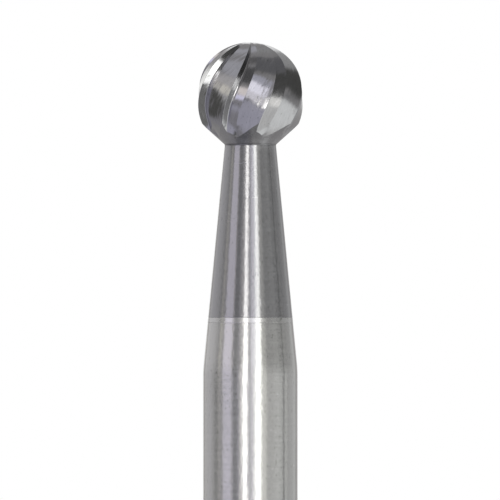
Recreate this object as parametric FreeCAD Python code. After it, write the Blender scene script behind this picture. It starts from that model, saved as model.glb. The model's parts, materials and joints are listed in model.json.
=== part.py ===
import FreeCAD, Part
import math
import os

# Round carbide burr: a fluted tungsten carbide ball on a tapered neck, brazed end to end on a steel
# shank. The axis is Z, the shank's end face lies on the XY plane and the ball is at the top.
# Lengths are in millimetres and angles in degrees.

# Whole burr
overall_len = 19.0

# Steel shank
shank_d = 1.60
end_chamfer = 0.20
taper_blend = 2.0           # radius that eases the cylinder into the taper
taper_len = 3.81            # whole taper, from the cylinder to its thin end under the ball
steel_taper_len = 0.79      # lower stretch of the taper, which is still steel

# Braze film between steel and carbide
braze_thickness = 0.09

# Carbide neck
neck_d = 0.87               # at the thin end of the taper
neck_blend = 0.04           # radius in the corner between the neck and the back of the ball

# Ball
ball_d = 1.88               # over the cutting edges
back_half_angle = 48.0      # of the cone ground on the back of the ball
back_depth = 0.058          # how far that cone lies under the ball's surface

# Flutes
flute_count = 8
flute_lead = 14.5           # rise in which a cutting edge would go once round the axis
first_edge_turn = -24.0     # of the first edge at the ball's middle, from the front (-Y) towards +X
gullet_depth = 0.12         # gullet bottom at the ball's middle, under the ball's surface
gullet_turn = 3.0           # round the axis from a cutting edge to its gullet bottom
heel_depth = 0.060          # heel of the land at the ball's middle, under the ball's surface
heel_turn = 17.5            # round the axis from a cutting edge to the heel across its gullet
gullet_run_out = 18.0       # angle below the ball's middle where the gullet bottom leaves it straight
land_run_out = 36.0         # the same for the edges and heels
tip_web = 5.0               # angle from the tip within which no flute reaches
short_web = 13.0            # the same for every second flute, which stops short of the tip
short_fade = 9.0            # further angle over which a short flute comes to its full depth
line_steps = 30             # stretches along each edge, heel and gullet line

shank_r = shank_d / 2
neck_r = neck_d / 2
ball_r = ball_d / 2
back_slope = math.tan(math.radians(back_half_angle))
ball_rise = (ball_r - back_depth) / math.sin(math.radians(back_half_angle)) - neck_r / back_slope
ball_z = overall_len - ball_r
neck_top = ball_z - ball_rise
shank_top = neck_top - taper_len
steel_top = shank_top + steel_taper_len
carbide_base = steel_top + braze_thickness


def taper_radius(height):
    """Radius of the one taper that steel, braze and carbide share."""
    return neck_r + (shank_r - neck_r) * (neck_top - height) / taper_len


def rounded_corner(before, corner, after, radius):
    """Start, middle and end of the arc that rounds a corner between two straight runs."""
    back = (before - corner).normalize()
    ahead = (after - corner).normalize()
    half_angle = back.getAngle(ahead) / 2
    inward = (back + ahead).normalize()
    setback = radius / math.tan(half_angle)
    middle = corner + inward * (radius / math.sin(half_angle) - radius)
    return corner + back * setback, middle, corner + ahead * setback


def turned(*outline):
    """Solid turned about the axis from the corners of its half section.

    A corner is its radius and height, and one with a third value is rounded to that radius.
    """
    corners = [FreeCAD.Vector(corner[0], 0, corner[1]) for corner in outline]
    edges = []
    runs = []
    for place, corner in enumerate(corners):
        start = end = corner
        if len(outline[place]) == 3:
            after = corners[place + 1]
            start, middle, end = rounded_corner(corners[place - 1], corner, after, outline[place][2])
            edges.append(Part.Arc(start, middle, end).toShape())
        runs.append((start, end))
    for place, (start, end) in enumerate(runs):
        edges.append(Part.LineSegment(runs[place - 1][1], start).toShape())
    half_section = Part.Face(Part.Wire(Part.__sortEdges__(edges)))
    return half_section.revolve(FreeCAD.Vector(0, 0, 0), FreeCAD.Vector(0, 0, 1), 360)


def steel_shank():
    """Plain gripping shank with a chamfered end and the first stretch of the taper."""
    return turned(
        (0, 0),
        (shank_r - end_chamfer, 0),
        (shank_r, end_chamfer),
        (shank_r, shank_top, taper_blend),
        (taper_radius(steel_top), steel_top),
        (0, steel_top),
    )


def braze_joint():
    """Thin disc of braze that fills the butt joint and shows as a bright ring."""
    return turned(
        (0, steel_top),
        (taper_radius(steel_top), steel_top),
        (taper_radius(carbide_base), carbide_base),
        (0, carbide_base),
    )


def edge_sink(angle):
    """The cutting edges lie on the ball's surface."""
    return 0


def gullet_sink(angle):
    """Depth of the gullet bottom, which is full from the ball's middle to its back."""
    return gullet_depth * math.sin(math.radians(min(angle, 90)))


def heel_sink(angle):
    """Depth of the heel, which grows all the way from the tip to the back."""
    return heel_depth * angle / 90


def fade_in(share):
    """Smooth step from 0 to 1."""
    share = min(max(share, 0), 1)
    return share * share * (3 - 2 * share)


def flute_line(flute, turn, sink_at, run_out):
    """Cutting edge, heel or gullet bottom of one tooth, from the tip to below the ball's back.

    Angles run from the tip, seen from the ball's centre. Past its run-out angle the line goes
    straight on, out through the back cone.
    """
    leave = 90 + run_out
    last = 180 - math.degrees(math.atan2(neck_r, ball_rise))
    places = []
    angles = []
    for step in range(line_steps + 1):
        angle = tip_web + (last - tip_web) * step / line_steps
        sink = sink_at(min(angle, leave))
        if flute % 2:
            sink *= fade_in((angle - short_web) / short_fade)
        reach = (ball_r - sink) / math.cos(math.radians(max(angle - leave, 0)))
        out = reach * math.sin(math.radians(angle))
        rise = ball_r * math.cos(math.radians(angle))
        around = math.radians(first_edge_turn + turn + 360 * (flute / flute_count + rise / flute_lead))
        height = ball_z + reach * math.cos(math.radians(angle))
        places.append(FreeCAD.Vector(out * math.sin(around), -out * math.cos(around), height))
        angles.append(angle)
    line = Part.BSplineCurve()
    line.interpolate(Points=places, Parameters=angles)
    return line.toShape()


def end_cap(corners, apex):
    """Triangles from the section at one end of the flutes to a point on the axis."""
    return [Part.Face(Part.makePolygon([corners[place - 1], corner, apex, corners[place - 1]]))
            for place, corner in enumerate(corners)]


def fluted_core():
    """Ball with a rake face, a gullet wall and a flat land to each tooth, open past its back."""
    lines = []
    for flute in range(flute_count):
        lines.append(flute_line(flute, 0, edge_sink, land_run_out))
        lines.append(flute_line(flute, gullet_turn, gullet_sink, gullet_run_out))
        lines.append(flute_line(flute, heel_turn, heel_sink, land_run_out))
    faces = [Part.makeRuledSurface(lines[place - 1], line) for place, line in enumerate(lines)]
    tops = [line.Vertexes[0].Point for line in lines]
    ends = [line.Vertexes[1].Point for line in lines]
    faces += end_cap(tops, FreeCAD.Vector(0, 0, overall_len))
    faces += end_cap(ends, FreeCAD.Vector(0, 0, min(end.z for end in ends)))
    shell = Part.Shell(faces)
    shell.sewShape()
    return Part.Solid(shell)


def carbide_head():
    """Neck and fluted ball, ground from one carbide rod.

    The neck takes in the rounded corner under the ball and the first of the back cone, and the
    fluted core is cut to the rest of that cone.
    """
    root_z = neck_top + neck_blend
    root_r = neck_r + neck_blend * back_slope
    rim_r = neck_r + (overall_len - neck_top) * back_slope
    neck = turned(
        (0, carbide_base),
        (taper_radius(carbide_base), carbide_base),
        (neck_r, neck_top, neck_blend),
        (root_r, root_z),
        (0, root_z),
    )
    back = turned((0, root_z), (root_r, root_z), (rim_r, overall_len), (0, overall_len))
    return neck.fuse(fluted_core().common(back)).removeSplitter()


def main():
    os.makedirs("parts", exist_ok=True)
    pieces = {"steel_shank": steel_shank(), "braze_joint": braze_joint(), "carbide_head": carbide_head()}
    for name, piece in pieces.items():
        solid = piece.Solids[0]
        print(name, "valid", piece.isValid(), "solids", len(piece.Solids), "volume", round(solid.Volume, 4),
              "from", round(solid.BoundBox.ZMin, 3), "to", round(solid.BoundBox.ZMax, 3))
        solid.exportStep("parts/" + name + ".step")


main()
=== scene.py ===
import json
import math

import bpy
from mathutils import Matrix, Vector


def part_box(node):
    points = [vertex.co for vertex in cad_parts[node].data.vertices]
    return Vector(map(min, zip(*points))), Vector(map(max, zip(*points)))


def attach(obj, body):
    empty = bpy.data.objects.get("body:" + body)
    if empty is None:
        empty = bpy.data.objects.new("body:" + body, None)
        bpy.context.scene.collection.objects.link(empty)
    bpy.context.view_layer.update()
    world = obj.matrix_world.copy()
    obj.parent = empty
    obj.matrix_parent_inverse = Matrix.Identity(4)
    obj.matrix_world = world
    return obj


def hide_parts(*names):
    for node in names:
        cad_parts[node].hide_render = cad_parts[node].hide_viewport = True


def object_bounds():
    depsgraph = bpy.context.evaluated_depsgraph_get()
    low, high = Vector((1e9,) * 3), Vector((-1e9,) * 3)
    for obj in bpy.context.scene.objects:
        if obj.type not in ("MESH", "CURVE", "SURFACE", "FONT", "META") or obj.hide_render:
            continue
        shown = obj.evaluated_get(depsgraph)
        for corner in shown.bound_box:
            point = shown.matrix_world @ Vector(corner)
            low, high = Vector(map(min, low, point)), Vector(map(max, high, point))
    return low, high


bl_info = {
    "name": "Round carbide burr",
    "version": (1, 0, 0),
    "blender": (4, 5, 0),
    "location": "3D View > Sidebar > Burr",
    "description": "Models a round carbide burr around its packed frame, with its finishes and its stage",
    "category": "Mesh",
}

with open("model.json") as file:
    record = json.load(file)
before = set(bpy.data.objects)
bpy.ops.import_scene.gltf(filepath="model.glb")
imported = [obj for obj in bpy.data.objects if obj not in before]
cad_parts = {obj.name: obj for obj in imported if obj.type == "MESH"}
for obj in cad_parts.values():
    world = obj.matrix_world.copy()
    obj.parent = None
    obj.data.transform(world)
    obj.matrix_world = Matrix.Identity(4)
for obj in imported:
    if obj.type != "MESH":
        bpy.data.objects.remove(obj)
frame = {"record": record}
CAD_LOW, CAD_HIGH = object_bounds()
SHANK_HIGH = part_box("steel_shank")[1]
HEAD_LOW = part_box("carbide_head")[0]
SLOTS = {material["slot"]: material for material in frame["record"]["materials"]}

MM = 0.001
BODY = "root"

# Faces of the meshes
ROUND = 256                 # round a turned piece
FLOOR_ROUND = 128           # round the floor
ROWS = 120                  # along a flute, from the tip to the back
FADE_ROWS = 4               # last of them, over which an edge's rounding dies out
RAKE_COLUMNS = 4            # across the front of a tooth,
WALL_COLUMNS = 8            # across the back wall of its gullet
LAND_COLUMNS = 10           # and across the land behind that
RIM_STEPS = 2               # across a rounded rim
BLEND_STEPS = 8             # across a rounded corner
SMOOTH_BELOW = math.radians(12)     # angle between faces that are shaded as one

# Lengths in millimetres
PLAIN_FROM = 0.5            # height of the first ring over the end chamfer
RIM_ROUND = 0.012           # rounding of the end chamfer's rims
SEAM_STRETCH = 0.02         # from a seam to the next ring, which keeps the seam's rounding narrow
NECK_STRETCH = 0.15         # from the top of the neck down to the next ring
BACK_FOOT = 0.10            # rise over the neck where the fluted face takes over from the turned one
TIP_LIFT = 0.001            # rise of the web's rim at the tip, before it closes on one point
WELD = 1e-4                 # between points that become one
LEVEL_SLACK = 1e-5          # between an edge and the height that it is picked by

BLEND_STRETCH = 3           # from a rounded corner to the next ring, in widths of its rounding
BRAZE_RINGS = (0.35, 0.65)  # shares of the braze's height where it has a ring
WEB_RIM = (0.9, 1.05)       # shares of the web's slope that only its rim lies between
FLUTES_END = math.radians(150)      # angle from the tip by which every flute has left the ball
HALVINGS = 40                       # of the search for the angle where one does

# Ground finishes
ROUND_GRAIN = (0.05, 0.05, 1.0)     # marks that go round the axis
ROUND_DRIFT = (1.0, 1.0, 0.65)      # waves and specks drawn out along the axis
FLUTE_GRAIN = (1.0, 0.06, 1.0)      # marks that run along a flute
FLUTE_DRIFT = (1.0, 0.6, 1.0)
EVEN = (1.0, 1.0, 1.0)              # marks, waves and specks without a direction
BLOTCH_SQUEEZE = (1.1, 0.9, 1.0)
NOISE_ROUGHNESS = 0.55
MARKS_SPAN = (0.6, 1.4)             # values of marks and blotches together
GLOSS_SPREAD = 0.15                 # share by which they change the roughness
SPECK_SPAN = (0.66, 0.74)           # values of the noise from which a speck starts and is full
SPECK_TINT = (0.34, 0.36, 0.30)     # share of the metal's colour left in a speck
STREAK_TURN = 0.25                  # turns the stretched shine so that it runs up the burr
BRAZE_KEPT = (0.87, 0.895, 0.94)    # share of the braze's colour that its ring shows

# Level lines on the neck: height, half width, share of the metal's colour kept, depth, middle, and reach
# to each side of it. The depth is in metres, the other lengths are in millimetres. The painted shade in the
# corner under the ball, a black band that darkens that corner, is given without its height.
# painted shade: a black level band in the corner between neck and ball
CORNER_PAINTED_SHADE = (0.03, 0.5, 0.0, 0, 2)
NECK_SCRATCHES = (
    (16.944, 0.014, 1.3, 2.4e-6, -0.17, 0.14),
    (16.363, 0.012, 1.3, 2.0e-6, 0.05, 0.10),
)

# Sockets of a Mix node that mixes colours
MIX_MASK, MIX_BELOW, MIX_ABOVE, MIX_RESULT = 0, 6, 7, 2


def length(name, description, default):
    return bpy.props.FloatProperty(
        name=name, description=description, default=default,
        min=0, subtype="DISTANCE", unit="LENGTH", precision=6)


def turn(name, description, degrees):
    return bpy.props.FloatProperty(
        name=name, description=description, default=math.radians(degrees),
        subtype="ANGLE", unit="ROTATION")


def colour(name, description, default):
    return bpy.props.FloatVectorProperty(
        name=name, description=description, default=default, size=3, min=0, max=1, subtype="COLOR")


def share(name, description, default, **more):
    return bpy.props.FloatProperty(
        name=name, description=description, default=default, min=0, subtype="FACTOR", **more)


class BURR_PG_shank(bpy.types.PropertyGroup):
    """Sizes of the steel shank and of the braze joint on it"""

    radius: length("Shank radius", "Radius of the plain gripping part", SHANK_HIGH.x)
    chamfer: length("End chamfer", "Chamfer round the end face", 0.20 * MM)
    taper_length: length("Taper length", "From the plain part to the thin end under the ball", 3.81 * MM)
    taper_blend: length("Taper blend", "Radius that eases the plain part into the taper", 2.0 * MM)
    seam: length("Seam", "Rounding of the rims that meet at the braze joint", 0.004 * MM)


class BURR_PG_head(bpy.types.PropertyGroup):
    """Sizes of the carbide head"""

    neck_radius: length("Neck radius", "Radius at the thin end of the taper", 0.435 * MM)
    neck_blend: length("Neck blend", "Radius in the corner between neck and ball", 0.04 * MM)
    ball_radius: length("Ball radius", "Radius over the cutting edges", 0.94 * MM)
    back_angle: turn("Back half angle", "Half angle of the cone ground on the back of the ball", 48)
    back_depth: length("Back depth", "How far that cone lies under the ball's surface", 0.058 * MM)
    flutes: bpy.props.IntProperty(
        name="Flutes", description="Number of teeth, every second one short of the tip", default=8, min=4)
    lead: length("Flute lead", "Rise in which a cutting edge would go once round", 14.5 * MM)
    first_edge: turn("First edge", "Place of the first edge at the ball's middle, from the front", -24)
    gullet_depth: length("Gullet depth", "Gullet bottom under the ball's surface", 0.12 * MM)
    gullet_turn: turn("Gullet turn", "From a cutting edge to its gullet bottom", 3)
    heel_depth: length("Heel depth", "Heel of the land under the ball's surface", 0.060 * MM)
    heel_turn: turn("Heel turn", "From a cutting edge to the heel across its gullet", 17.5)
    gullet_run_out: turn("Gullet run-out", "Below the middle, where the gullet bottom goes straight on", 18)
    land_run_out: turn("Land run-out", "Below the middle, where edges and heels go straight on", 36)
    tip_web: turn("Tip web", "Angle from the tip within which no flute reaches", 5)
    short_web: turn("Short web", "The same for the short flutes", 13)
    short_fade: turn("Short fade", "Further angle over which a short flute comes to its full depth", 9)
    edge_round: length("Edge rounding", "Honed width of a cutting edge", 0.004 * MM)
    gullet_round: length("Gullet rounding", "Radius left by the wheel in a gullet bottom", 0.012 * MM)


class BURR_PG_finish(bpy.types.PropertyGroup):
    """Colours and gloss of the three metals"""

    steel: colour("Steel", "Colour of the ground steel", SLOTS["steel"]["base_color"][:3])
    braze: colour("Braze", "Colour of the braze ring", SLOTS["braze"]["base_color"][:3])
    carbide: colour("Carbide", "Colour of the ground carbide", SLOTS["carbide"]["base_color"][:3])
    steel_gloss: share("Steel roughness", "Roughness of the ground steel and of the neck", 0.24, max=1)
    braze_gloss: share("Braze roughness", "Roughness of the braze ring", 0.28, max=1)
    carbide_gloss: share("Carbide roughness", "Roughness of the fluted ball", 0.15, max=1)


class BURR_PG_stage(bpy.types.PropertyGroup):
    """Floor, light and camera"""

    floor_radius: length("Floor radius", "Radius of the plain floor", 0.15)
    floor: colour("Floor", "Colour of the floor", (0.82, 0.82, 0.82))
    camera_distance: length("Camera distance", "From the camera to the axis", 0.25)
    view_width: length("View width", "Width that the camera takes in at the axis", 8.483 * MM)
    aim: bpy.props.FloatVectorProperty(
        name="Aim", description="Point that the camera looks straight at", size=3,
        default=(-0.007 * MM, 0, CAD_HIGH.z - 3.522 * MM), subtype="TRANSLATION", unit="LENGTH", precision=6)
    floor_light: share("Floor light", "Strength of the light that only the floor shows", 2.6)


def start_piece():
    """Leaves nothing selected and no piece in edit mode."""
    if bpy.context.object and bpy.context.object.mode != "OBJECT":
        bpy.ops.object.mode_set(mode="OBJECT")
    bpy.ops.object.select_all(action="DESELECT")


def pick_edges(piece, wanted):
    """In edit mode, selects only the edges that wanted(edge, mesh) is true for."""
    bpy.ops.mesh.select_all(action="DESELECT")
    bpy.ops.mesh.select_mode(type="EDGE")
    bpy.ops.object.mode_set(mode="OBJECT")
    for edge in piece.data.edges:
        edge.select = wanted(edge, piece.data)
    bpy.ops.object.mode_set(mode="EDIT")


def at_height(height):
    """Picks the edges that lie level at a height."""
    def wanted(edge, mesh):
        return all(abs(mesh.vertices[place].co.z - height) < LEVEL_SLACK for place in edge.vertices)
    return wanted


def web_rim(head):
    """Picks the edges round the web at the tip."""
    middle = (CAD_HIGH.z - head.ball_radius) / MM
    least, most = WEB_RIM

    def wanted(edge, mesh):
        ends = [mesh.vertices[place].co for place in edge.vertices]
        shares = [end.xy.length / (end.z - middle) / math.tan(head.tip_web) for end in ends]
        return all(least < part < most for part in shares)
    return wanted


def raise_ring(radius, height, new_radius, new_height):
    """Extrudes the selected ring or face to a new height and radius."""
    bpy.ops.mesh.extrude_region_move(TRANSFORM_OT_translate={"value": (0, 0, new_height - height)})
    bpy.ops.transform.resize(
        value=(new_radius / radius, new_radius / radius, 1), center_override=(0, 0, new_height))


def turned_piece(name, outline):
    """Closed turned piece in millimetres, drawn up ring by ring from (radius, height) pairs."""
    start_piece()
    radius, height = outline[0]
    bpy.ops.mesh.primitive_circle_add(
        vertices=ROUND, radius=radius, fill_type="NGON", location=(0, 0, height))
    piece = bpy.context.object
    piece.name = piece.data.name = name
    bpy.ops.object.transform_apply(location=True, rotation=True, scale=True)
    bpy.ops.object.mode_set(mode="EDIT")
    bpy.ops.mesh.select_all(action="SELECT")
    for new_radius, new_height in outline[1:]:
        raise_ring(radius, height, new_radius, new_height)
        radius, height = new_radius, new_height
    return piece


def round_ring(piece, height, width, segments=RIM_STEPS):
    """Bevels the ring of edges at a height."""
    pick_edges(piece, at_height(height))
    bpy.ops.mesh.bevel(offset_type="OFFSET", offset=width, segments=segments, profile=0.5, affect="EDGES")


def finish_piece(piece, slot, node, *materials):
    """Brings a piece down from millimetres to its real size and gives it its place in the frame."""
    bpy.ops.mesh.select_all(action="SELECT")
    bpy.ops.mesh.normals_make_consistent(inside=False)
    bpy.ops.object.mode_set(mode="OBJECT")
    bpy.ops.object.shade_smooth_by_angle(angle=SMOOTH_BELOW)
    piece.scale = (MM, MM, MM)
    bpy.ops.object.transform_apply(location=True, rotation=True, scale=True)
    piece.data.materials.clear()
    for material in materials:
        piece.data.materials.append(material)
    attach(piece, BODY)
    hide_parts(node)


def taper_outline(scene, *heights):
    """(radius, height) in millimetres at heights on the taper that steel, braze and carbide share."""
    shank, head = scene.burr_shank, scene.burr_head
    thin = head.neck_radius
    slope = (shank.radius - thin) / shank.taper_length
    return [((thin + slope * (neck_top(head) - height)) / MM, height / MM) for height in heights]


def back_line(head):
    """Slope of the cone on the ball's back, and how far the ball's middle lies above the neck."""
    slope = math.tan(head.back_angle)
    rise = (head.ball_radius - head.back_depth) / math.sin(head.back_angle) - head.neck_radius / slope
    return slope, rise


def neck_top(head):
    """Height where the neck meets the back of the ball."""
    return CAD_HIGH.z - head.ball_radius - back_line(head)[1]


def fade_in(part):
    """Smooth step from 0 to 1."""
    part = min(max(part, 0), 1)
    return part * part * (3 - 2 * part)


def flute_point(head, flute, line, angle):
    """Point in millimetres on a cutting edge, gullet bottom or heel, at an angle from the tip."""
    turns = {"edge": 0, "gullet": head.gullet_turn, "heel": head.heel_turn}
    leave = math.pi / 2 + (head.gullet_run_out if line == "gullet" else head.land_run_out)
    kept = min(angle, leave)
    sink = {
        "edge": 0,
        "gullet": head.gullet_depth * math.sin(min(kept, math.pi / 2)),
        "heel": head.heel_depth * kept / (math.pi / 2),
    }[line]
    if flute % 2:
        sink *= fade_in((angle - head.short_web) / head.short_fade)
    reach = (head.ball_radius - sink) / math.cos(max(angle - leave, 0))
    rise = head.ball_radius * math.cos(angle)
    around = head.first_edge + turns[line] + math.tau * (flute / head.flutes + rise / head.lead)
    out = reach * math.sin(angle)
    height = CAD_HIGH.z - head.ball_radius + reach * math.cos(angle)
    return Vector((out * math.sin(around), -out * math.cos(around), height)) / MM


def tooth_columns():
    """For each column of vertices over one long and one short tooth: the two lines it lies between
    and its share of the way."""
    columns = []
    for flute in (0, 1):
        stretches = (
            ((flute, "edge"), (flute, "gullet"), RAKE_COLUMNS),
            ((flute, "gullet"), (flute, "heel"), WALL_COLUMNS),
            ((flute, "heel"), (flute + 1, "edge"), LAND_COLUMNS),
        )
        for start, end, faces in stretches:
            columns += [(start, end, step / faces) for step in range(faces)]
    return columns + [((2, "edge"), (2, "edge"), 0)]


def column_point(head, column, angle):
    """Point on the straight line across a ground face."""
    start, end, part = column
    first = flute_point(head, *start, angle)
    return first.lerp(flute_point(head, *end, angle), part) if part else first


def back_crossing(head, column):
    """Angle at which a column runs out through the cone on the ball's back."""
    slope, _ = back_line(head)
    low, high = math.pi / 2, FLUTES_END
    for _ in range(HALVINGS):
        middle = (low + high) / 2
        point = column_point(head, column, middle) * MM
        inside = point.xy.length < head.neck_radius + (point.z - neck_top(head)) * slope
        low, high = (middle, high) if inside else (low, middle)
    return low


def fluted_ball(head):
    """Fluted face of the ball, from one patch over two teeth that is copied round the axis."""
    columns = tooth_columns()
    across = len(columns) - 1
    start_piece()
    bpy.ops.mesh.primitive_grid_add(
        x_subdivisions=across, y_subdivisions=ROWS, size=2, calc_uvs=True, location=(0, 0, 0))
    piece = bpy.context.object
    mesh = piece.data
    ends = [back_crossing(head, column) for column in columns]
    places = {}
    for vertex in mesh.vertices:
        column = round((vertex.co.x + 1) / 2 * across)
        row = round((vertex.co.y + 1) / 2 * ROWS)
        places[vertex.index] = (column, row)
    points = {}
    for column, shape in enumerate(columns):
        for row in range(ROWS + 1):
            angle = head.tip_web + (ends[column] - head.tip_web) * row / ROWS
            points[column, row] = (column_point(head, shape, angle), angle)
    sweep = {}
    for row in range(ROWS + 1):
        run = 0
        for column in range(across + 1):
            if column:
                run += (points[column, row][0] - points[column - 1, row][0]).length
            sweep[column, row] = run
    for vertex in mesh.vertices:
        vertex.co = points[places[vertex.index]][0]
    grind_map = mesh.uv_layers.active
    grind_map.name = "grind"
    for loop in mesh.loops:
        place = places[loop.vertex_index]
        grind_map.data[loop.index].uv = (sweep[place], head.ball_radius / MM * points[place][1])

    # how much of the rounding each stretch of an edge or gullet bottom gets, less towards tip and back
    weights = mesh.attributes.new("bevel_weight_edge", "FLOAT", "EDGE")
    tooth = RAKE_COLUMNS + WALL_COLUMNS + LAND_COLUMNS
    for edge in mesh.edges:
        first, second = (places[place] for place in edge.vertices)
        if first[0] != second[0]:
            continue
        nearest = ROWS - max(first[1], second[1])
        ease = math.sin(min(points[first][1], math.pi / 2)) ** 2 * min(nearest / FADE_ROWS, 1)
        if first[0] % tooth == 0:
            weights.data[edge.index].value = ease * head.edge_round / head.gullet_round
        elif first[0] % tooth == RAKE_COLUMNS:
            weights.data[edge.index].value = ease

    bpy.ops.object.mode_set(mode="EDIT")
    bpy.ops.mesh.select_all(action="SELECT")
    copies = head.flutes // 2
    for _ in range(copies - 1):
        bpy.ops.mesh.duplicate()
        bpy.ops.transform.rotate(
            value=math.tau / copies, orient_axis="Z", orient_type="GLOBAL", center_override=(0, 0, 0))
    bpy.ops.mesh.select_all(action="SELECT")
    bpy.ops.mesh.remove_doubles(threshold=WELD)
    bpy.ops.object.mode_set(mode="OBJECT")
    return piece


def close_tip(piece, head):
    """Closes the web at the tip in flat facets on one point."""
    bpy.ops.object.mode_set(mode="EDIT")
    pick_edges(piece, web_rim(head))
    bpy.ops.mesh.extrude_region_move(TRANSFORM_OT_translate={"value": (0, 0, TIP_LIFT)})
    bpy.ops.mesh.merge(type="CENTER")
    bpy.ops.object.mode_set(mode="OBJECT")
    for vertex in piece.data.vertices:
        if vertex.co.xy.length < WELD:
            vertex.co = (0, 0, CAD_HIGH.z / MM)


def round_gullets(piece, head):
    """Rounds the gullet bottoms and, less, the cutting edges, as far as their weights say."""
    modifier = piece.modifiers.new("ground_edges", "BEVEL")
    modifier.limit_method = "WEIGHT"
    modifier.width = head.gullet_round / MM
    modifier.segments = RIM_STEPS
    modifier.use_clamp_overlap = False
    bpy.ops.object.modifier_apply(modifier=modifier.name)


def add_back_and_neck(piece, scene):
    """Carries the open edge of the flutes on down the back cone and the neck, and closes the neck."""
    shank, head = scene.burr_shank, scene.burr_head
    slope, _ = back_line(head)
    foot = neck_top(head) / MM
    neck = head.neck_radius / MM
    radius, height = neck + BACK_FOOT * slope, foot + BACK_FOOT
    bpy.ops.object.mode_set(mode="EDIT")
    bpy.ops.mesh.select_all(action="DESELECT")
    bpy.ops.mesh.select_mode(type="EDGE")
    bpy.ops.mesh.select_non_manifold(extend=False)
    bpy.ops.object.mode_set(mode="OBJECT")
    rim = {place for edge in piece.data.edges if edge.select for place in edge.vertices}
    for edge in piece.data.edges:
        edge.select = False
    known = len(piece.data.vertices)
    bpy.ops.object.mode_set(mode="EDIT")
    bpy.ops.mesh.select_mode(type="VERT")
    bpy.ops.mesh.select_all(action="DESELECT")
    bpy.ops.mesh.primitive_circle_add(
        vertices=ROUND, radius=radius, fill_type="NOTHING", location=(0, 0, height))
    bpy.ops.object.mode_set(mode="OBJECT")
    for vertex in piece.data.vertices:
        vertex.select = vertex.index in rim or vertex.index >= known
    bpy.ops.object.mode_set(mode="EDIT")
    bpy.ops.mesh.select_mode(type="EDGE")
    bpy.ops.mesh.bridge_edge_loops()
    pick_edges(piece, at_height(height))
    rings = [(neck, foot)]
    rings += taper_outline(
        scene, (foot - NECK_STRETCH) * MM, HEAD_LOW.z + SEAM_STRETCH * MM, HEAD_LOW.z)
    for new_radius, new_height in rings:
        raise_ring(radius, height, new_radius, new_height)
        radius, height = new_radius, new_height
    bpy.ops.mesh.edge_face_add()
    taper_turn = math.atan((shank.radius - head.neck_radius) / shank.taper_length)
    bend = math.pi / 2 - head.back_angle - taper_turn
    round_ring(piece, foot, head.neck_blend / MM * math.tan(bend / 2), BLEND_STEPS)
    round_ring(piece, HEAD_LOW.z / MM, shank.seam / MM)


def node(tree, kind, label="", **settings):
    """New node with a label and its settings."""
    made = tree.nodes.new(kind)
    made.label = label
    for name, value in settings.items():
        setattr(made, name, value)
    return made


def feed(tree, target, **sources):
    """Links or sets inputs of a node by socket name, written with _ for a space."""
    for name, source in sources.items():
        socket = target.inputs[name.replace("_", " ")]
        if isinstance(source, bpy.types.NodeSocket):
            tree.links.new(source, socket)
        else:
            socket.default_value = source
    return target


def maths(tree, operation, *values):
    """Result of a Math node on sockets or numbers."""
    made = node(tree, "ShaderNodeMath", operation=operation)
    for socket, value in zip(made.inputs, values):
        if isinstance(value, bpy.types.NodeSocket):
            tree.links.new(value, socket)
        else:
            socket.default_value = value
    return made.outputs[0]


def smooth_ramp(tree, value, low, high, start=0.0, end=1.0):
    """Eased way from start to end while a value goes from low to high."""
    made = node(tree, "ShaderNodeMapRange", interpolation_type="SMOOTHSTEP")
    feed(tree, made, Value=value, From_Min=low, From_Max=high, To_Min=start, To_Max=end)
    return made.outputs["Result"]


def blend(tree, label, mask, below, above):
    """Mix of two colours, each a socket or three numbers, by a mask."""
    made = node(tree, "ShaderNodeMix", label, data_type="RGBA")
    tree.links.new(mask, made.inputs[MIX_MASK])
    for place, source in ((MIX_BELOW, below), (MIX_ABOVE, above)):
        if isinstance(source, bpy.types.NodeSocket):
            tree.links.new(source, made.inputs[place])
        else:
            made.inputs[place].default_value = (*source, 1)
    return made.outputs[MIX_RESULT]


def group(name, inputs, outputs):
    """Empty node group with named sockets."""
    tree = bpy.data.node_groups.new(name, "ShaderNodeTree")
    for way, sockets in (("INPUT", inputs), ("OUTPUT", outputs)):
        for socket, kind in sockets:
            tree.interface.new_socket(socket, in_out=way, socket_type=kind)
    return tree, tree.nodes.new("NodeGroupInput"), tree.nodes.new("NodeGroupOutput")


def shared_group(name, build):
    """Node group of that name, built when it is first asked for."""
    return bpy.data.node_groups.get(name) or build()


def grind_marks_group():
    """Fine marks of a grinding wheel, shallow waves under them and sparse specks.

    The vector is in millimetres. Grain and Drift squeeze it for the marks and for the waves and
    specks, which run long where the factor is small.
    """
    tree, given, out = group(
        "grind_marks",
        [
            ("Vector", "NodeSocketVector"),
            ("Grain", "NodeSocketVector"),
            ("Drift", "NodeSocketVector"),
            ("Fineness", "NodeSocketFloat"),
            ("Coarseness", "NodeSocketFloat"),
        ],
        [
            ("Marks", "NodeSocketFloat"),
            ("Blotches", "NodeSocketFloat"),
            ("Waves", "NodeSocketFloat"),
            ("Specks", "NodeSocketFloat"),
        ],
    )

    def noise(label, squeeze, scale, detail):
        drawn = node(tree, "ShaderNodeVectorMath", label, operation="MULTIPLY")
        tree.links.new(given.outputs["Vector"], drawn.inputs[0])
        if squeeze:
            tree.links.new(given.outputs[squeeze], drawn.inputs[1])
        else:
            drawn.inputs[1].default_value = BLOTCH_SQUEEZE
        made = feed(tree, node(tree, "ShaderNodeTexNoise", label), Vector=drawn.outputs["Vector"],
                    Scale=given.outputs[scale], Detail=detail, Roughness=NOISE_ROUGHNESS)
        return made.outputs["Fac"]

    start, full = SPECK_SPAN
    specks = noise("specks", "Drift", "Fineness", 1.0)
    sparse = feed(tree, node(tree, "ShaderNodeMapRange", "sparse"), Value=specks,
                  From_Min=start, From_Max=full, To_Min=0.0, To_Max=1.0)
    feed(tree, out, Marks=noise("marks", "Grain", "Fineness", 3.0),
         Blotches=noise("blotches", None, "Coarseness", 2.0),
         Waves=noise("waves", "Drift", "Coarseness", 1.0), Specks=sparse.outputs["Result"])
    return tree


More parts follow.
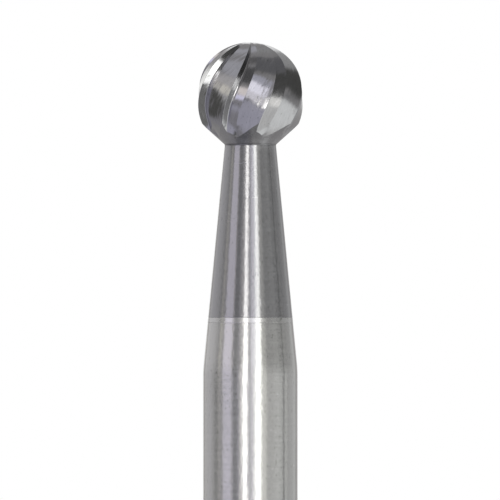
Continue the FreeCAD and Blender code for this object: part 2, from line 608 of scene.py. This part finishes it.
def level_ring_group():
    """Soft level band at a height, cut short at a reach to each side of a middle.

    The vector and all lengths are in millimetres.
    """
    tree, given, out = group(
        "level_ring",
        [
            ("Vector", "NodeSocketVector"),
            ("Height", "NodeSocketFloat"),
            ("Half Width", "NodeSocketFloat"),
            ("Middle", "NodeSocketFloat"),
            ("Reach", "NodeSocketFloat"),
        ],
        [("Mask", "NodeSocketFloat")],
    )
    parts = feed(tree, node(tree, "ShaderNodeSeparateXYZ"), Vector=given.outputs["Vector"])

    def near(axis, place, reach):
        away = maths(tree, "ABSOLUTE", maths(tree, "SUBTRACT", parts.outputs[axis], given.outputs[place]))
        return smooth_ramp(tree, away, 0.0, given.outputs[reach], 1.0, 0.0)

    mask = maths(tree, "MULTIPLY", near("Z", "Height", "Half Width"), near("X", "Middle", "Reach"))
    feed(tree, out, Mask=mask)
    return tree


def metal(name, base, rough, coordinates, grain, drift, fineness, coarseness,
          bump, wave, specks, tone=0.06, streak=0.0, rings=()):
    """Ground metal: marks in its colour, roughness and surface, over shallow waves, with specks.

    Bump and wave are depths in metres. Streak stretches the shine across marks that go round the axis.
    Each ring is a level line on a turned face, either a scratch or a band of painted shade, with the same
    numbers as a line of NECK_SCRATCHES.
    """
    material = bpy.data.materials.new(name)
    material.use_nodes = True
    tree = material.node_tree
    tree.nodes.clear()
    out = node(tree, "ShaderNodeOutputMaterial")
    shader = node(tree, "ShaderNodeBsdfPrincipled")
    tree.links.new(shader.outputs["BSDF"], out.inputs["Surface"])
    ground = node(tree, "ShaderNodeGroup", node_tree=shared_group("grind_marks", grind_marks_group))
    feed(tree, ground, Vector=coordinates(tree), Grain=grain, Drift=drift,
         Fineness=fineness, Coarseness=coarseness)
    both = maths(tree, "ADD", ground.outputs["Marks"], ground.outputs["Blotches"])
    low, high = MARKS_SPAN
    spread = feed(tree, node(tree, "ShaderNodeMapRange", "colour"), Value=both,
                  From_Min=low, From_Max=high, To_Min=0.0, To_Max=1.0)
    painted = blend(tree, "tint", spread.outputs["Result"],
                    [part * (1 - tone) for part in base], [min(part * (1 + tone), 1) for part in base])
    painted = blend(tree, "specks", maths(tree, "MULTIPLY", ground.outputs["Specks"], specks),
                    painted, [part * kept for part, kept in zip(base, SPECK_TINT)])
    gloss = feed(tree, node(tree, "ShaderNodeMapRange", "gloss"), Value=both, From_Min=low, From_Max=high,
                 To_Min=rough * (1 - GLOSS_SPREAD), To_Max=rough * (1 + GLOSS_SPREAD))
    waves = feed(tree, node(tree, "ShaderNodeBump", "waves"), Height=ground.outputs["Waves"],
                 Distance=wave, Strength=1.0)
    relief = feed(tree, node(tree, "ShaderNodeBump", "marks"), Height=both,
                  Distance=bump, Strength=1.0, Normal=waves.outputs["Normal"])
    for height, half_width, kept, depth, middle, reach in rings:
        band = node(tree, "ShaderNodeGroup", node_tree=shared_group("level_ring", level_ring_group))
        feed(tree, band, Vector=coordinates(tree), Height=height, Half_Width=half_width,
             Middle=middle, Reach=reach)
        painted = blend(tree, "ring", band.outputs["Mask"], painted, [part * kept for part in base])
        relief = feed(tree, node(tree, "ShaderNodeBump", "ring", invert=True), Height=band.outputs["Mask"],
                      Distance=depth, Strength=1.0, Normal=relief.outputs["Normal"])
    feed(tree, shader, Base_Color=painted, Metallic=1.0,
         Roughness=gloss.outputs["Result"], Normal=relief.outputs["Normal"])
    if streak:
        tangent = node(tree, "ShaderNodeTangent", direction_type="RADIAL", axis="Z")
        feed(tree, shader, Anisotropic=streak, Anisotropic_Rotation=STREAK_TURN,
             Tangent=tangent.outputs["Tangent"])
    return material


def turned_coordinates(tree):
    """Object coordinates in millimetres, for marks that go round the axis."""
    place = node(tree, "ShaderNodeTexCoord")
    scaled = feed(tree, node(tree, "ShaderNodeMapping"), Vector=place.outputs["Object"],
                  Scale=(1 / MM, 1 / MM, 1 / MM))
    return scaled.outputs["Vector"]


def flute_coordinates(tree):
    """The fluted face's own map, in millimetres across and along a flute, apart on each tooth."""
    return node(tree, "ShaderNodeUVMap", uv_map="grind").outputs["UV"]


class BURR_OT_shank(bpy.types.Operator):
    """Turned and ground steel shank with its chamfered end and the foot of the taper"""

    bl_idname = "burr.shank"
    bl_label = "Steel shank"
    bl_options = {"REGISTER", "UNDO"}

    def execute(self, context):
        shank, finish = context.scene.burr_shank, context.scene.burr_finish
        radius = shank.radius / MM
        corner = (neck_top(context.scene.burr_head) - shank.taper_length) / MM
        top = SHANK_HIGH.z / MM
        taper_turn = math.atan((shank.radius - context.scene.burr_head.neck_radius) / shank.taper_length)
        setback = shank.taper_blend / MM * math.tan(taper_turn / 2)
        stretch = BLEND_STRETCH * setback
        outline = [(radius, 0), (radius, PLAIN_FROM), (radius, corner - stretch), (radius, corner)]
        outline += taper_outline(
            context.scene, (corner + stretch) * MM, SHANK_HIGH.z - SEAM_STRETCH * MM, SHANK_HIGH.z)
        piece = turned_piece("ground_shank", outline)
        round_ring(piece, 0, shank.chamfer / MM, 1)
        round_ring(piece, 0, RIM_ROUND)
        round_ring(piece, shank.chamfer / MM, RIM_ROUND)
        round_ring(piece, corner, setback, BLEND_STEPS)
        round_ring(piece, top, shank.seam / MM)
        steel = metal("ground_steel", finish.steel, finish.steel_gloss, turned_coordinates,
                      ROUND_GRAIN, ROUND_DRIFT, fineness=26, coarseness=16, bump=2e-7, wave=1.6e-6,
                      specks=0.3, streak=1.0)
        finish_piece(piece, "steel", "steel_shank", steel)
        return {"FINISHED"}


class BURR_OT_braze(bpy.types.Operator):
    """Ring where the braze shows between steel and carbide"""

    bl_idname = "burr.braze"
    bl_label = "Braze ring"
    bl_options = {"REGISTER", "UNDO"}

    def execute(self, context):
        shank, finish = context.scene.burr_shank, context.scene.burr_finish
        low, high = SHANK_HIGH.z, HEAD_LOW.z
        inner = [low + (high - low) * part for part in BRAZE_RINGS]
        piece = turned_piece("braze_ring", taper_outline(context.scene, low, *inner, high))
        round_ring(piece, low / MM, shank.seam / MM)
        round_ring(piece, high / MM, shank.seam / MM)
        shown = [part * kept for part, kept in zip(finish.braze, BRAZE_KEPT)]
        braze = metal("ground_braze", shown, finish.braze_gloss, turned_coordinates,
                      EVEN, EVEN, fineness=9, coarseness=4, bump=4e-7, wave=3e-6,
                      tone=0.16, specks=0.5, streak=0.8)
        finish_piece(piece, "braze", "braze_joint", braze)
        return {"FINISHED"}


class BURR_OT_head(bpy.types.Operator):
    """Carbide neck and fluted ball"""

    bl_idname = "burr.head"
    bl_label = "Carbide head"
    bl_options = {"REGISTER", "UNDO"}

    def execute(self, context):
        scene = context.scene
        head, finish = scene.burr_head, scene.burr_finish
        piece = fluted_ball(head)
        piece.name = piece.data.name = "fluted_head"
        close_tip(piece, head)
        round_gullets(piece, head)
        add_back_and_neck(piece, scene)
        flutes = metal("ground_flutes", finish.carbide, finish.carbide_gloss, flute_coordinates,
                       FLUTE_GRAIN, FLUTE_DRIFT, fineness=22, coarseness=7, bump=3e-7, wave=2.5e-6,
                       tone=0.08, specks=0.5)
        # the first ring is painted shade, a black band that darkens the corner under the ball; the others
        # are scratches
        corner = (neck_top(head) / MM, *CORNER_PAINTED_SHADE)
        turned = metal("ground_neck", finish.carbide, finish.steel_gloss, turned_coordinates,
                       ROUND_GRAIN, ROUND_DRIFT, fineness=28, coarseness=17, bump=2e-7, wave=1.4e-6,
                       specks=0.28, streak=1.0, rings=(corner, *NECK_SCRATCHES))
        finish_piece(piece, "carbide", "carbide_head", flutes, turned)
        turned_below = neck_top(head) + BACK_FOOT * MM
        for face in piece.data.polygons:
            face.material_index = int(face.center.z < turned_below)
        return {"FINISHED"}


class BURR_OT_stage(bpy.types.Operator):
    """Plain floor, soft studio light and camera"""

    bl_idname = "burr.stage"
    bl_label = "Stage"
    bl_options = {"REGISTER", "UNDO"}

    def execute(self, context):
        scene = context.scene
        stage = scene.burr_stage
        start_piece()
        bpy.ops.mesh.primitive_circle_add(
            vertices=FLOOR_ROUND, radius=stage.floor_radius, fill_type="NGON", location=(0, 0, CAD_LOW.z))
        floor = context.object
        floor.name = floor.data.name = "floor"
        bpy.ops.object.transform_apply(location=True, rotation=True, scale=True)
        paint = bpy.data.materials.new("floor_paint")
        paint.use_nodes = True
        shader = paint.node_tree.nodes["Principled BSDF"]
        shader.inputs["Base Color"].default_value = (*stage.floor, 1)
        shader.inputs["Roughness"].default_value = 0.9
        floor.data.materials.append(paint)
        floor.visible_glossy = False

        bpy.ops.object.light_add(type="SUN", location=(0, 0, 0.3), rotation=(0.25, 0.2, 0))
        lamp = context.object
        lamp.name = "floor_light"
        lamp.data.energy = stage.floor_light
        lamp.data.angle = math.radians(60)
        lamp.visible_glossy = False

        studio_world(scene)
        scene.view_settings.view_transform = "Standard"
        scene.view_settings.look = "None"

        aim = Vector(stage.aim)
        bpy.ops.object.camera_add(
            location=aim - Vector((0, stage.camera_distance, 0)), rotation=(math.pi / 2, 0, 0))
        camera = context.object
        camera.name = "camera"
        camera.data.type = "PERSP"
        camera.data.sensor_width = 36
        camera.data.lens = camera.data.sensor_width * stage.camera_distance / stage.view_width
        camera.data.clip_start = 0.01
        camera.data.clip_end = 10
        scene.camera = camera
        return {"FINISHED"}


# The studio round the burr: one room, and panels drawn over it from the back to the front. Each has its
# middle and half width in azimuth (from the front, + to the right), lowest and highest elevation, softness
# of the rim, lean (turn to the right for each degree up) and colour. Angles in degrees.
ROOM = (0.42, 0.41, 0.41)
PANELS = (
    ("table left", -75, 60, -100, 2, 12, 0, (0.40, 0.39, 0.42)),
    ("floor left below", -85, 70, -100, -60, 6, 0, (0.19, 0.19, 0.19)),
    ("rear left wall", -118, 32, 0, 36, 8, 0, (0.80, 0.79, 0.80)),
    ("rear left wall above", -118, 32, 12, 36, 8, 0, (0.49, 0.48, 0.49)),
    ("dark rear left", -92, 8, -24, 9, 6, 1.1, (0.12, 0.12, 0.11)),
    ("table front", -34, 36, -62, -8, 8, 0, (0.64, 0.63, 0.74)),
    ("table right", 42, 30, -62, 9, 8, 0, (0.96, 0.96, 0.94)),
    ("table middle", 0, 10, -54, -30, 5, 0, (0.29, 0.29, 0.28)),
    ("table far right", 85, 22, -62, -5, 8, 0, (1.25, 1.27, 1.25)),
    ("table right rear", 125, 20, -36, 9, 8, 0, (0.62, 0.62, 0.62)),
    ("table right behind", 56, 17, -14, 9, 8, 0, (0.74, 0.735, 0.73)),
    ("table right seam", 91, 2.5, -40, 9, 3, 0, (0.30, 0.30, 0.30)),
    ("rear right wall", 150, 20, 18, 66, 8, 0, (0.48, 0.48, 0.48)),
    ("rear window", 176, 12, 1, 28, 8, 0, (1.10, 1.10, 1.10)),
    ("rear window low", -166, 6, 1, 12, 4, 0, (1.15, 1.15, 1.12)),
    ("upper left wall", -120, 42, 38, 60, 5, 0, (0.67, 0.67, 0.72)),
    ("left wall", -62, 14, 14, 28, 6, 0, (1.42, 1.31, 1.26)),
    ("left wall low", -61, 12, 5.5, 14, 5, 0, (1.38, 1.35, 1.68)),
    ("left wall above", -86, 12, 24, 38, 6, 0, (0.78, 0.76, 0.76)),
    ("left wall far", -86, 5, 12, 24, 4, 0, (1.25, 1.20, 1.08)),
    ("black card", 82, 50, 8.2, 56, 10, 0, (0.115, 0.115, 0.11)),
    ("right window edge", 31, 9, -10, 9, 8, 0, (1.25, 1.24, 1.18)),
    ("dark above right", 70, 45, 54, 76, 6, 0, (0.21, 0.21, 0.22)),
    ("dark above left", -62, 14, 36, 68, 6, 0, (0.13, 0.13, 0.13)),
    ("dark above far left", -92, 27, 64, 82, 5, 0, (0.16, 0.16, 0.16)),
    ("dark gap", -38, 6, -14, 12, 5, 0, (0.20, 0.20, 0.20)),
    ("camera shade", 4, 7, -30, -6, 5, 0, (0.10, 0.10, 0.10)),
    ("left window", -15.2, 5.4, -6, 16, 4, 0.37, (5.00, 4.90, 4.75)),
    ("left window wing", -20, 2.5, -15, 0, 4, 0.5, (2.60, 2.50, 2.40)),
    ("right window", 19, 5.6, -9, 15, 4, 0.35, (4.30, 4.30, 4.15)),
    ("right window foot", 17.4, 4.5, -27, -9, 4, 0.43, (3.00, 3.00, 2.90)),
    ("lavender sheet high", 0, 6.5, 26, 43, 4, 0.53, (0.75, 0.75, 0.86)),
    ("lavender sheet low", 0, 5.2, -7, 11, 4, 0.53, (1.38, 1.34, 1.44)),
    ("lavender sheet", 0, 6.5, 9, 28, 4, 0.53, (1.80, 1.77, 1.95)),
)


def studio_world(scene):
    """World of soft panels all round the burr, white to the camera."""
    world = bpy.data.worlds.new("studio")
    scene.world = world
    world.use_nodes = True
    tree = world.node_tree
    tree.nodes.clear()
    place = node(tree, "ShaderNodeTexCoord")
    parts = feed(tree, node(tree, "ShaderNodeSeparateXYZ"), Vector=place.outputs["Generated"])

    degree = math.degrees(1)
    ahead = maths(tree, "MULTIPLY", parts.outputs["Y"], -1.0)
    azimuth = maths(tree, "MULTIPLY", maths(tree, "ARCTAN2", parts.outputs["X"], ahead), degree)
    elevation = maths(tree, "MULTIPLY", maths(tree, "ARCSINE", parts.outputs["Z"]), degree)
    light = ROOM
    for label, middle, half, low, high, soft, lean, shade in PANELS:
        centre = maths(tree, "MULTIPLY_ADD", elevation, lean, middle)
        away = maths(tree, "WRAP", maths(tree, "SUBTRACT", azimuth, centre), 180.0, -180.0)
        beside = maths(tree, "ABSOLUTE", away)
        across = smooth_ramp(tree, beside, half - soft / 2, half + soft / 2, 1.0, 0.0)
        above = smooth_ramp(tree, elevation, low - soft / 2, low + soft / 2)
        below = smooth_ramp(tree, elevation, high - soft / 2, high + soft / 2, 1.0, 0.0)
        mask = maths(tree, "MULTIPLY", maths(tree, "MULTIPLY", across, above), below)
        light = blend(tree, label, mask, light, shade)
    path = node(tree, "ShaderNodeLightPath")
    seen = blend(tree, "white to the camera", path.outputs["Is Camera Ray"], light, (1, 1, 1))
    background = feed(tree, node(tree, "ShaderNodeBackground"), Color=seen, Strength=1.0)
    out = node(tree, "ShaderNodeOutputWorld")
    tree.links.new(background.outputs[0], out.inputs["Surface"])


class BURR_PT_sidebar(bpy.types.Panel):
    """Sizes, finishes and steps of the burr"""

    bl_idname = "BURR_PT_sidebar"
    bl_label = "Carbide burr"
    bl_space_type = "VIEW_3D"
    bl_region_type = "UI"
    bl_category = "Burr"

    def draw(self, context):
        for step in STEPS:
            self.layout.operator(step.bl_idname)
        for name in SETTINGS:
            box = self.layout.box()
            settings = getattr(context.scene, name)
            for key in settings.__annotations__:
                box.prop(settings, key)


STEPS = (BURR_OT_shank, BURR_OT_braze, BURR_OT_head, BURR_OT_stage)
SETTINGS = {
    "burr_shank": BURR_PG_shank,
    "burr_head": BURR_PG_head,
    "burr_finish": BURR_PG_finish,
    "burr_stage": BURR_PG_stage,
}


def register():
    for made in (*SETTINGS.values(), *STEPS, BURR_PT_sidebar):
        bpy.utils.register_class(made)
    for name, kind in SETTINGS.items():
        setattr(bpy.types.Scene, name, bpy.props.PointerProperty(type=kind))


def unregister():
    for name in SETTINGS:
        delattr(bpy.types.Scene, name)
    for made in (BURR_PT_sidebar, *STEPS, *SETTINGS.values()):
        bpy.utils.unregister_class(made)


def main():
    register()
    bpy.ops.burr.shank()
    bpy.ops.burr.braze()
    bpy.ops.burr.head()
    bpy.ops.burr.stage()


if __name__ == "__main__":
    main()
